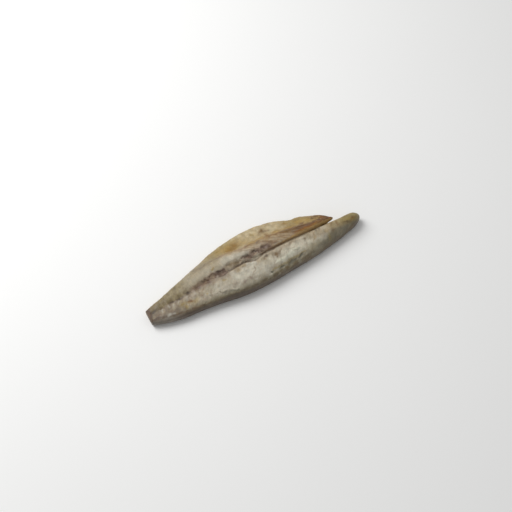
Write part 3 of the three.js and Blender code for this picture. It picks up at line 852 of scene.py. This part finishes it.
class Nodes:
    """Short ways to add shader nodes to one material."""

    def __init__(self, name):
        self.material = bpy.data.materials.new(name)
        self.material.use_nodes = True
        self.tree = self.material.node_tree
        self.shader = self.tree.nodes["Principled BSDF"]
        self.object_place = self.add("ShaderNodeTexCoord").outputs["Object"]

    def add(self, kind, **settings):
        """A new node with these settings."""
        node = self.tree.nodes.new(kind)
        for name, value in settings.items():
            setattr(node, name, value)
        return node

    def feed(self, value, socket):
        """Links another node's socket to this one, or sets a constant colour or number on it."""
        if isinstance(value, bpy.types.NodeSocket):
            self.tree.links.new(value, socket)
        elif isinstance(value, tuple):
            socket.default_value = (*value, 1)
        else:
            socket.default_value = value

    def math(self, operation, a, b=0.0):
        node = self.add("ShaderNodeMath", operation=operation)
        self.feed(a, node.inputs[0])
        self.feed(b, node.inputs[1])
        return node.outputs[0]

    def scaled(self, place, per_axis):
        """A place divided by sizes in millimetres, one per axis."""
        mapping = self.add("ShaderNodeMapping")
        self.feed(place, mapping.inputs["Vector"])
        mapping.inputs["Scale"].default_value = [1 / (MM * size) for size in per_axis]
        return mapping.outputs[0]

    def noise(self, size, detail=3.0, place=None):
        """Noise with features of that many millimetres: one number, or one per axis."""
        per_axis = size if isinstance(size, tuple) else (size, size, size)
        node = self.add("ShaderNodeTexNoise")
        self.feed(self.scaled(place or self.object_place, per_axis), node.inputs["Vector"])
        node.inputs["Scale"].default_value = 1
        node.inputs["Detail"].default_value = detail
        return node.outputs["Fac"]

    def cells(self, size):
        """Distance to the nearest edge in a net of cells of these sizes in millimetres."""
        node = self.add("ShaderNodeTexVoronoi", feature="DISTANCE_TO_EDGE")
        self.feed(self.scaled(self.object_place, size), node.inputs["Vector"])
        node.inputs["Scale"].default_value = 1
        return node.outputs["Distance"]

    def ramp(self, value, low, high, to_low=0.0, to_high=1.0):
        """A smooth step from to_low to to_high as value goes from low to high."""
        node = self.add("ShaderNodeMapRange", interpolation_type="SMOOTHSTEP")
        self.feed(value, node.inputs["Value"])
        ends = {"From Min": low, "From Max": high, "To Min": to_low, "To Max": to_high}
        for name, number in ends.items():
            node.inputs[name].default_value = number
        return node.outputs[0]

    def stored(self, name, output="Fac"):
        """What store kept on the mesh under that name."""
        return self.add("ShaderNodeAttribute", attribute_name=name).outputs[output]

    def mix(self, share, a, b):
        """Colour a where share is 0, colour b where it is 1."""
        node = self.add("ShaderNodeMix", data_type="RGBA")
        self.feed(share, node.inputs[0])
        self.feed(a, node.inputs[6])
        self.feed(b, node.inputs[7])
        return node.outputs[2]

    def choose(self, share, a, b):
        """Number a where share is 0, number b where it is 1."""
        node = self.add("ShaderNodeMix", data_type="FLOAT")
        self.feed(share, node.inputs[0])
        self.feed(a, node.inputs[2])
        self.feed(b, node.inputs[3])
        return node.outputs[0]

    def dim(self, color, factor):
        """A colour times a number."""
        node = self.add("ShaderNodeVectorMath", operation="SCALE")
        self.feed(color, node.inputs[0])
        self.feed(factor, node.inputs["Scale"])
        return node.outputs[0]


def flesh_material():
    """The painted tone with fine mottling, fibres, grain and freckles, moist flesh and finely scaled skin."""
    n = Nodes("smoked_flesh")
    skin = n.stored("skin")
    fibres = n.noise((0.8, 1.0, 1.0), detail=3, place=n.stored("flow", "Vector"))
    mottle = n.noise(3.2, detail=4)
    grain = n.noise(0.9, detail=3)
    freckles = n.math("MULTIPLY", n.ramp(n.noise(2.1, detail=2), 0.62, 0.72), n.ramp(skin, 0, 0.5, 0.08, 0))

    color = n.dim(n.stored("tone", "Color"), n.ramp(mottle, 0.3, 0.7, 0.88, 1.11))
    color = n.dim(color, n.ramp(fibres, 0.3, 0.7, 0.94, 1.06))
    color = n.dim(color, n.ramp(grain, 0.3, 0.7, 0.95, 1.05))
    color = n.mix(freckles, color, linear(140, 112, 78))
    n.feed(color, n.shader.inputs["Base Color"])

    flesh_roughness = n.ramp(mottle, 0.3, 0.7, 0.45, 0.62)
    skin_roughness = n.ramp(mottle, 0.3, 0.7, 0.3, 0.42)
    n.feed(n.choose(skin, flesh_roughness, skin_roughness), n.shader.inputs["Roughness"])
    n.shader.inputs["Specular IOR Level"].default_value = 0.4
    n.shader.inputs["Subsurface Weight"].default_value = 0.1
    n.shader.inputs["Subsurface Radius"].default_value = (0.0014, 0.0009, 0.0006)
    n.shader.inputs["Subsurface Scale"].default_value = 1.0

    scales = n.ramp(n.cells((1.3, 1.0, 1.3)), 0, 0.12)
    flesh_relief = n.math("ADD", n.math("MULTIPLY", fibres, 0.7), n.math("MULTIPLY", grain, 0.5))
    skin_relief = n.math("ADD", n.math("MULTIPLY", scales, 0.1), n.math("MULTIPLY", mottle, 0.25))
    bump = n.add("ShaderNodeBump")
    bump.inputs["Strength"].default_value = 0.6
    bump.inputs["Distance"].default_value = 0.0004
    n.feed(n.choose(skin, flesh_relief, skin_relief), bump.inputs["Height"])
    n.feed(bump.outputs[0], n.shader.inputs["Normal"])
    return n.material


def floor_material():
    """A plain, matt, almost white table."""
    n = Nodes("pale_floor")
    n.feed(n.mix(n.noise(300), linear(244, 244, 243), linear(247, 247, 246)), n.shader.inputs["Base Color"])
    n.shader.inputs["Roughness"].default_value = 0.9
    n.shader.inputs["Specular IOR Level"].default_value = 0.1
    return n.material


flesh.materials.clear()
flesh.materials.append(flesh_material())
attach(fillet, "root")
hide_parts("fillet")

# ---------------------------------------------------------------- floor, light and camera

FLOOR_REACH = 2.0
corners = [(FLOOR_REACH * x, FLOOR_REACH * y, 0) for x, y in ((-1, -1), (1, -1), (1, 1), (-1, 1))]
floor_mesh = bpy.data.meshes.new("floor")
floor_mesh.from_pydata(corners, [], [(0, 1, 2, 3)])
floor_mesh.materials.append(floor_material())
floor = bpy.data.objects.new("floor", floor_mesh)
bpy.context.scene.collection.objects.link(floor)

SKY_STRENGTH = 0.42
world = bpy.data.worlds.new("studio")
world.use_nodes = True
sky = world.node_tree.nodes["Background"]
sky.inputs["Color"].default_value = (1, 1, 1, 1)
sky.inputs["Strength"].default_value = SKY_STRENGTH
bpy.context.scene.world = world
bpy.context.scene.view_settings.view_transform = "Standard"


def softbox(name, location, size, power):
    """A round soft light that faces the fillet."""
    light = bpy.data.lights.new(name, "AREA")
    light.shape = "DISK"
    light.size = size
    light.energy = power
    lamp = bpy.data.objects.new(name, light)
    bpy.context.scene.collection.objects.link(lamp)
    lamp.location = location
    lamp.rotation_euler = (-lamp.location).to_track_quat("-Z", "Y").to_euler()


# One large light, high behind the belly and a little towards the tail.
softbox("key", location=(-0.35, 0.6, 0.75), size=0.8, power=8.5)

# The camera looks down over the back edge from a little towards the tail. It aims just beside the middle.
CAMERA_TURN = math.radians(-29.4)
CAMERA_RISE = math.radians(60)
CAMERA_DISTANCE = 0.70
CAMERA_LENS = 60
AIM_HEIGHT = 0.008
AIM_RIGHT, AIM_UP = 0.00205, 0.00082

back = Vector((math.sin(CAMERA_TURN) * math.cos(CAMERA_RISE), -math.cos(CAMERA_TURN) * math.cos(CAMERA_RISE),
               math.sin(CAMERA_RISE)))
right = Vector((0, 0, 1)).cross(back).normalized()
above = back.cross(right)
lens = bpy.data.cameras.new("camera")
lens.lens = CAMERA_LENS
lens.sensor_width = 36
camera = bpy.data.objects.new("camera", lens)
bpy.context.scene.collection.objects.link(camera)
camera.location = Vector((0, 0, AIM_HEIGHT)) + right * AIM_RIGHT + above * AIM_UP + back * CAMERA_DISTANCE
camera.rotation_euler = Matrix((right, above, back)).transposed().to_euler()
bpy.context.scene.camera = camera
